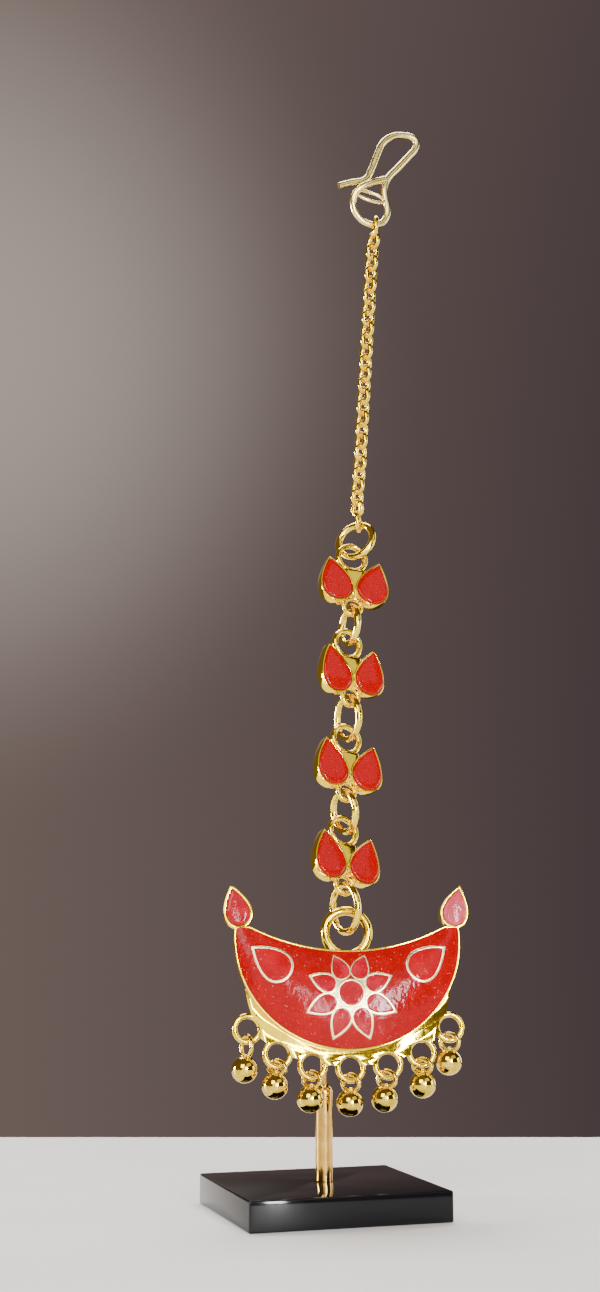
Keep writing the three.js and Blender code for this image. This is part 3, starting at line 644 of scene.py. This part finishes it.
def pendantMetal(style):
    outline = crescentOutline(style, 0)
    tray = castTray(outline, style["thick"], style["pocket"], style["rim"], style["backEdge"])
    flange = flangePlate(style)
    hornPoints = dropOutline(*style["hornDrop"], style["hornWidth"], style["hornSteps"])
    horn = castTray(hornPoints, style["hornThick"], style["hornPocket"], style["hornRim"], style["hornEdge"])
    parts = [tray, flange, horn, mirrorAcross(twin(horn))]
    parts.append(ringOnBack(style["topRing"], style["thick"], style["topRingHeight"]))
    middle = flangeMiddle(style)
    for centre in eyeletCentres(style):
        parts.append(castRing(*style["eyelet"], (centre.x, middle, centre.y)))
    return merge(parts)


cells = flowerCells(pendant)
enamelBlock, enamelGuide = domeBlock(pendant)
seat(pendantMetal(pendant), "pendantMetal", pendantPlace, "pendant", gold)
walls = [cellWall(pendant, name, cell, enamelGuide) for name, cell in cells.items()]
walls.append(flowerCollar(pendant, cells, enamelBlock))
seat(merge(walls), "pendantCellWalls", pendantPlace, "pendant", litWallGold)
print("pendant metal done")

for name, cell in cells.items():
    drawIn = wallWidth(pendant, name) - pendant["underWall"]
    filling = cutBy(twin(enamelBlock), punch(cellOutline(pendant, cell, drawIn)), "INTERSECT")
    roundEdges(filling, width=pendant["enamelEdge"], segments=3, angle=60)
    kind = dropEnamel if "drop" in name else roseEnamel
    seat(filling, "enamel" + name.title().replace("_", ""), pendantPlace, "enamel_" + name, kind, smooth=50)
for cell in cells.values():
    cutBy(enamelBlock, punch(cellOutline(pendant, cell, pendant["underField"])))
seat(enamelBlock, "enamelField", pendantPlace, "enamel_field", fieldEnamel, smooth=50)
bpy.data.objects.remove(enamelGuide, do_unlink=True)

hornFilling = fillingIn(*pendant["hornDrop"], pendant["hornWidth"], pendant["hornRim"], pendant["hornPocket"],
                        pendant["hornSteps"])
leftFilling = mirrorAcross(twin(hornFilling))
seat(leftFilling, "enamelHornLeft", pendantPlace, "enamel_horn_left", roseEnamel, smooth=60)
seat(hornFilling, "enamelHornRight", pendantPlace, "enamel_horn_right", glareRose, smooth=60)
print("pendant enamel done")


wireRing = {
    "wire": 0.57, "topRadius": 3.6, "depth": 7.6, "rest": 0.1, "turns": [4, 13, 13, 18],
    "topPose": {"x": 7.44, "y": 4.55, "z": 104.72, "yaw": -45, "lean": 20, "roll": 0},
}


def onLink(number, key):   # where a link's ring or eyelet is
    depth = leafLink[key][2]
    height = leafLink[key + "Height"]
    return poseMatrix(leafLink["poses"][number]) @ Vector((0, leafLink["thick"] - depth / 2, height))


topPlace = poseMatrix(wireRing["topPose"])
halfTop = wireRing["topRadius"] - wireRing["wire"]
quarterTurn = Matrix.Rotation(math.pi / 2, 4, "X")
topRing = ovalWire(halfTop, halfTop, wireRing["wire"], quarterTurn, 12, 16)
seat(topRing, "jumpRing1", topPlace, "jump_ring_1", wireGold)

topRingDepth = pendant["thick"] - pendant["topRing"][2] / 2
pendantRing = pendantPlace @ Vector((0, topRingDepth, pendant["topRingHeight"]))
rings = [onLink(number, "ring") for number in range(1, len(leafLink["poses"]))] + [pendantRing]
for number, (turn, held) in enumerate(zip(wireRing["turns"], rings)):
    top = onLink(number, "eye")
    bottom = held + Vector((0, 0, wireRing["rest"]))
    angle = math.radians(turn)
    place = axesMatrix((top + bottom) / 2, top - bottom, Vector((math.sin(angle), -math.cos(angle), 0)))
    halfLong, halfDeep = (top - bottom).length / 2, wireRing["depth"] / 2 - wireRing["wire"]
    ring = ovalWire(halfLong, halfDeep, wireRing["wire"], noMove, 12, 16)
    seat(ring, f"jumpRing{number + 2}", place, f"jump_ring_{number + 2}", wireGold)
print("wire rings done")


bell = {
    "radius": 2.02, "loopWire": 0.35, "loopHalfDepth": 1.6, "pass": 0.2, "collar": (0.8, 0.5, 0.4), "sink": 0.02,
    "drops": [   # how far the ball hangs, its sway, and the loop's turn from edge-on
        (5.9, -0.5, 12), (4.6, -0.5, 34), (4.9, -0.5, 35), (5.1, -0.2, 32), (5.0, -0.7, 36), (4.7, 0, 36),
        (5.1, -0.3, 36),
    ],
}


def makeBell(style, drop, turn, eyelet):   # hung from the middle of its eyelet
    letGo()
    bpy.ops.mesh.primitive_uv_sphere_add(segments=48, ring_count=24, radius=style["radius"],
                                         location=(0, 0, -drop))
    ball = bake(bpy.context.object)
    radius, thickness, _ = eyelet
    top = -(radius - thickness - style["pass"] - style["loopWire"])
    bottom = -(drop - style["radius"] + style["loopWire"])
    place = Matrix.Translation((0, 0, (top + bottom) / 2)) @ Matrix.Rotation(math.radians(turn), 4, "Z")
    place = place @ Matrix.Rotation(math.pi / 2, 4, "Y")
    loop = ovalWire((top - bottom) / 2, style["loopHalfDepth"], style["loopWire"], place, 10, 12)
    collar = castRing(*style["collar"], (0, 0, 0))
    collar.rotation_euler.x = math.pi / 2
    collar.location = (0, 0, style["radius"] - drop - style["sink"])
    bake(collar)
    return merge([ball, loop, collar])


middle = flangeMiddle(pendant)
hangs = pendant["eyelet"][0] - pendant["eyelet"][1] / 2
for number, (centre, (drop, sway, turn)) in enumerate(zip(eyeletCentres(pendant), bell["drops"]), 1):
    eyelet = pendantPlace @ Vector((centre.x, middle, centre.y))
    eyelet.y = (pendantPlace @ Vector((centre.x, middle, centre.y - hangs))).y
    place = Matrix.Translation(eyelet) @ Matrix.Rotation(math.atan2(-sway, drop), 4, "Y")
    seat(makeBell(bell, drop, turn, pendant["eyelet"]), f"bell{number}", place, f"bell_{number}", shadedBellGold)
print("bells done")


hook = {
    "wire": 0.56, "endRounding": 0.12,
    "innerWire": 0.3, "innerHalves": (2.54, 0.91),   # the thin turn of wire inside the eye
    "innerAt": (9.0, 0.75, 162.9), "innerAlong": (2.5, 0, -0.45), "innerAcross": (0.15, 0.3, 0.85),
    "route": [
        (3.58, 1.0, 164.2), (5.9, 1.0, 165.1), (8.3, 1.0, 166.0), (9.3, 1.0, 167.8), (10.35, 1.0, 170.6),
        (11.5, 1.0, 173.0), (13.0, 1.0, 174.25), (14.95, 1.0, 174.75), (16.6, 1.0, 174.64), (17.4, 1.0, 173.95),
        (17.25, 1.0, 172.7), (16.1, 1.0, 171.2), (14.25, 1.0, 169.0), (12.3, 1.0, 166.7), (11.7, 1.0, 165.3),
        (11.75, 1.0, 163.0), (12.15, 1.0, 161.2), (11.85, 1.0, 159.6), (10.7, 1.0, 158.4), (8.8, 1.0, 158.15),
        (6.85, 0.9, 159.2), (5.95, 0.7, 161.0), (6.1, 0.3, 162.7), (7.1, -0.1, 163.95), (8.8, -0.25, 164.9),
        (11.3, -0.2, 165.9),
    ],
}


def bentWire(route, wire):
    letGo()
    bpy.ops.curve.primitive_bezier_curve_add()
    curve = bpy.context.object
    spline = curve.data.splines[0]
    spline.bezier_points.add(len(route) - 2)
    for point, place in zip(spline.bezier_points, route):
        point.co = place
        point.handle_left_type = point.handle_right_type = "AUTO"
    curve.data.dimensions = "3D"
    curve.data.resolution_u = 6
    curve.data.bevel_depth = wire
    curve.data.bevel_resolution = 5
    curve.data.use_fill_caps = True
    bpy.ops.object.convert(target="MESH")
    return bpy.context.object


hookWire = roundEdges(bentWire(hook["route"], hook["wire"]), width=hook["endRounding"], segments=2, angle=60)
innerPlace = axesMatrix(Vector(hook["innerAt"]), Vector(hook["innerAlong"]), Vector(hook["innerAcross"]))
innerTurn = ovalWire(*hook["innerHalves"], hook["innerWire"], innerPlace, 10, 14)
seat(merge([hookWire, innerTurn]), "hairHook", noMove, "hook", paleGold)
print("hook done")


chain = {   # middle links have plumper wire within the same outer size, and neighbours run into each other
    "wire": 0.36, "plump": 0.43, "width": 2.75, "pitch": 1.9, "fuse": 0.1, "pass": 0.2,
    "endWidth": 3.3, "endInner": 2.6, "turns": (-64, 26), "lowerTurn": 62, "upperTurn": 78,
    "span": (1.73, -4.28, 50.63),
    "route": [   # share of the span, and how far the chain bends off it
        (0.09, -0.42, 0.12), (0.21, -0.29, 0.11), (0.44, -0.29, 0.12), (0.64, -0.28, 0.07), (0.89, -0.22, 0.04),
    ],
}


def smoothRoute(points, pieces=60):
    points = [Vector(p) for p in points]
    first, last = 2 * points[0] - points[1], 2 * points[-1] - points[-2]
    padded = [first, *points, last]
    line = []
    for i in range(1, len(padded) - 2):
        before, a, b, after = padded[i - 1:i + 3]
        line += interpolate_bezier(a, a + (b - before) / 6, b - (after - a) / 6, b, pieces)[:-1]
    return line + [points[-1]]


def alongRoute(line, distance):
    walked = 0
    for a, b in zip(line, line[1:]):
        step = (b - a).length
        if walked + step >= distance or b is line[-1]:
            return a.lerp(b, (distance - walked) / step), (b - a).normalized()
        walked += step


def chainLink(style, centre, along, degrees, inner, width):
    angle = math.radians(degrees)
    place = axesMatrix(centre, along, Vector((math.cos(angle), math.sin(angle), 0)))
    wire = style["plump"] if width == style["width"] else style["wire"]
    return ovalWire(inner / 2 + 2 * style["wire"] - wire, width / 2 - wire, wire, place, 10, 7)


def makeChain(style, foot, footWire, headWire):   # from the top wire ring to the hook's eye
    head = foot + Vector(style["span"])
    reach = style["endInner"] / 2 - style["pass"]
    start = foot + Vector((0, 0, reach - footWire))
    end = head + Vector((0, 0, headWire - reach))
    between = [foot.lerp(head, share) + Vector((x, y, 0)) for share, x, y in style["route"]]
    line = smoothRoute([start, *between, end])
    length = sum((b - a).length for a, b in zip(line, line[1:]))
    endSize = (style["endInner"], style["endWidth"])
    count = round((length - style["endInner"]) / style["pitch"])
    inner = (length - style["endInner"] - (count + 1) * style["fuse"]) / count
    firstStep = (style["endInner"] + inner) / 2 + style["fuse"]
    links = [chainLink(style, *alongRoute(line, 0), style["lowerTurn"], *endSize)]
    for i in range(count):
        at = alongRoute(line, firstStep + i * (inner + style["fuse"]))
        links.append(chainLink(style, *at, style["turns"][i % 2], inner, style["width"]))
    links.append(chainLink(style, *alongRoute(line, length), style["upperTurn"], *endSize))
    return merge(links)


chainFoot = topPlace @ Vector((0, 0, halfTop))
seat(makeChain(chain, chainFoot, wireRing["wire"], hook["wire"]), "chain", noMove, "chain", chainGold)
print("chain done")


stand = {
    "width": 31, "depth": 28.2, "height": 4.5, "edge": 0.3,
    "postRadius": 1.33, "postTop": 18.9, "postAt": (0.34, 0.19), "postRounding": 0.97,
    "socket": 2.5, "socketGap": 0.05,
    "pinRadius": 0.45, "padRadius": 1.4, "padThick": 1.2, "padGap": 0.1, "padAt": (-4, -9.5), "padEdge": 0.2,
}


def rod(radius, length, sides, place=(0, 0, 0)):
    letGo()
    bpy.ops.mesh.primitive_cylinder_add(vertices=sides, radius=radius, depth=length, location=place)
    return bpy.context.object


def standBlock(style):
    letGo()
    bpy.ops.mesh.primitive_cube_add(size=1, location=(0, 0, style["height"] / 2))
    block = bpy.context.object
    block.scale = (style["width"], style["depth"], style["height"])
    bake(block)
    over = 2   # the drill stands out of the block this far
    middle = style["height"] - style["socket"] / 2 + over / 2
    drill = rod(style["postRadius"] + style["socketGap"], style["socket"] + over, 64, (*style["postAt"], middle))
    cutBy(block, bake(drill))
    return roundEdges(block, width=style["edge"], segments=4, angle=60)


def standPost(style):   # the post, and a pin from its top to a pad behind the pendant
    foot, top = style["height"] - style["socket"], style["postTop"]
    post = bake(rod(style["postRadius"], top - foot, 64, (*style["postAt"], (top + foot) / 2)))
    pickFaces(post, lambda face: face.center.z > top - hair)
    bpy.ops.mesh.bevel(offset=style["postRadius"] * style["postRounding"], segments=14, affect="EDGES")
    padDepth = pendant["thick"] + style["padGap"] + style["padThick"] / 2
    padPlace = pendantPlace @ Matrix.Translation((style["padAt"][0], padDepth, style["padAt"][1]))
    start, end = Vector((*style["postAt"], top - style["postRadius"])), padPlace.to_translation()
    pin = rod(style["pinRadius"], (end - start).length, 24)
    turn = (end - start).to_track_quat("Z", "Y").to_matrix().to_4x4()
    pin.matrix_world = Matrix.Translation((start + end) / 2) @ turn
    bake(pin)
    pad = rod(style["padRadius"], style["padThick"], 40)
    pad.matrix_world = padPlace @ Matrix.Rotation(math.pi / 2, 4, "X")
    bake(pad)
    roundEdges(pad, width=style["padEdge"], segments=3, angle=60)
    return merge([post, pin, pad])


seat(standBlock(stand), "standBlock", noMove, "stand_base", black)
seat(standPost(stand), "standPost", noMove, "stand_post", postGold)
print("stand done")


studio = {   # sizes in metres
    "cameraAt": (-0.0846, -0.25474, 0.04373), "tilt": 99.01, "turn": -17.65, "lens": 47.84,
    "backLeft": (0.17, 0.125, 0.11), "backRight": (0.06, 0.042, 0.046), "backRange": (0.08, 0.5),
    "glowToward": (0.08, 0.944, 0.32), "glowColour": (0.5, 0.43, 0.385), "glowReach": 0.3, "glowShare": 0.8,
    "tableSize": (1.6, 1.2), "tableColour": (0.95, 0.93, 0.90), "tableShade": (0.88, 0.85, 0.82),
    "tableRough": 0.45,
    "tableBack": 0.09,   # the table ends this far behind the piece, as seen by the camera
    "lampTarget": (0.005, 0, 0.08),
    "lamps": {   # place, width and height, power
        "frontLight": ((-0.28, -0.8, 0.135), (0.5, 0.24), 0.75),
        "highFrontLight": ((0.0, -0.75, 0.4), (0.5, 0.25), 0.47),
        "keyLight": ((-0.35, -0.5, 0.42), (0.35, 0.35), 3.1),
        "fillLight": ((0.56, -0.16, 0.13), (0.25, 0.22), 0.9),
        "upperRightLight": ((0.34, -0.53, 0.57), (0.55, 0.35), 0.6),
        "topLight": ((0.05, 0.28, 0.56), (0.4, 0.3), 4.6),
        "leftRimLight": ((-0.56, 0.23, 0.105), (0.12, 0.14), 5),
        "rightRimLight": ((0.4, 0.2, 0.15), (0.16, 0.35), 0.7),
        "leftGlint": ((-0.09, -0.684, 0.154), (0.035, 0.28), 1.0),
        "rightGlint": ((0.08, -0.686, 0.154), (0.035, 0.28), 3.6),
    },
}


def tableTop(style):
    letGo()
    bpy.ops.mesh.primitive_plane_add(size=1, location=(0, 0, 0))
    top = bpy.context.object
    top.name = "tableTop"
    width, depth = style["tableSize"]
    turn = math.radians(style["turn"])
    top.scale = (width, depth, 1)
    top.rotation_euler.z = turn
    top.location = Vector((-math.sin(turn), math.cos(turn), 0)) * (style["tableBack"] - depth / 2)
    bake(top)
    material, tree, shader = newFinish("paleTable")
    cloud = noise(tree, 22, detail=5, stretch=(1, 3, 1))
    tree.links.new(tint(tree, cloud, style["tableColour"], style["tableShade"]), shader.inputs["Base Color"])
    shader.inputs["Roughness"].default_value = style["tableRough"]
    top.data.materials.append(material)


def brownWall(style):   # paler on the left, with a soft glow high up there
    world = bpy.data.worlds.new("studioWorld")
    bpy.context.scene.world = world
    world.use_nodes = True
    tree = world.node_tree
    around = tree.nodes.new("ShaderNodeTexCoord").outputs["Generated"]
    split = tree.nodes.new("ShaderNodeSeparateXYZ")
    tree.links.new(around, split.inputs["Vector"])
    side = band(tree, split.outputs["X"], style["backRange"], (0, 1))
    apart = tree.nodes.new("ShaderNodeVectorMath")
    apart.operation = "DISTANCE"
    apart.inputs[1].default_value = style["glowToward"]
    tree.links.new(around, apart.inputs[0])
    glow = band(tree, apart.outputs["Value"], (0, style["glowReach"]), (style["glowShare"], 0))
    glow.node.interpolation_type = "SMOOTHERSTEP"
    wall = tint(tree, side, style["backLeft"], style["backRight"])
    wall = tint(tree, glow, wall, style["glowColour"])
    tree.links.new(wall, tree.nodes["Background"].inputs["Color"])


def softBox(name, place, target, size, power):
    letGo()
    bpy.ops.object.light_add(type="AREA", location=place)
    lamp = bpy.context.object
    lamp.name = name
    lamp.data.shape = "RECTANGLE"
    lamp.data.size, lamp.data.size_y = size
    lamp.data.energy = power
    lamp.rotation_euler = (Vector(target) - Vector(place)).to_track_quat("-Z", "Y").to_euler()


def photoCamera(style):
    bpy.ops.object.camera_add(location=style["cameraAt"],
                              rotation=(math.radians(style["tilt"]), 0, math.radians(style["turn"])))
    camera = bpy.context.object
    camera.data.lens = style["lens"]
    camera.data.clip_start = 0.01
    bpy.context.scene.camera = camera


tableTop(studio)
brownWall(studio)
for name, (place, size, power) in studio["lamps"].items():
    softBox(name, place, studio["lampTarget"], size, power)
photoCamera(studio)
print("studio done")
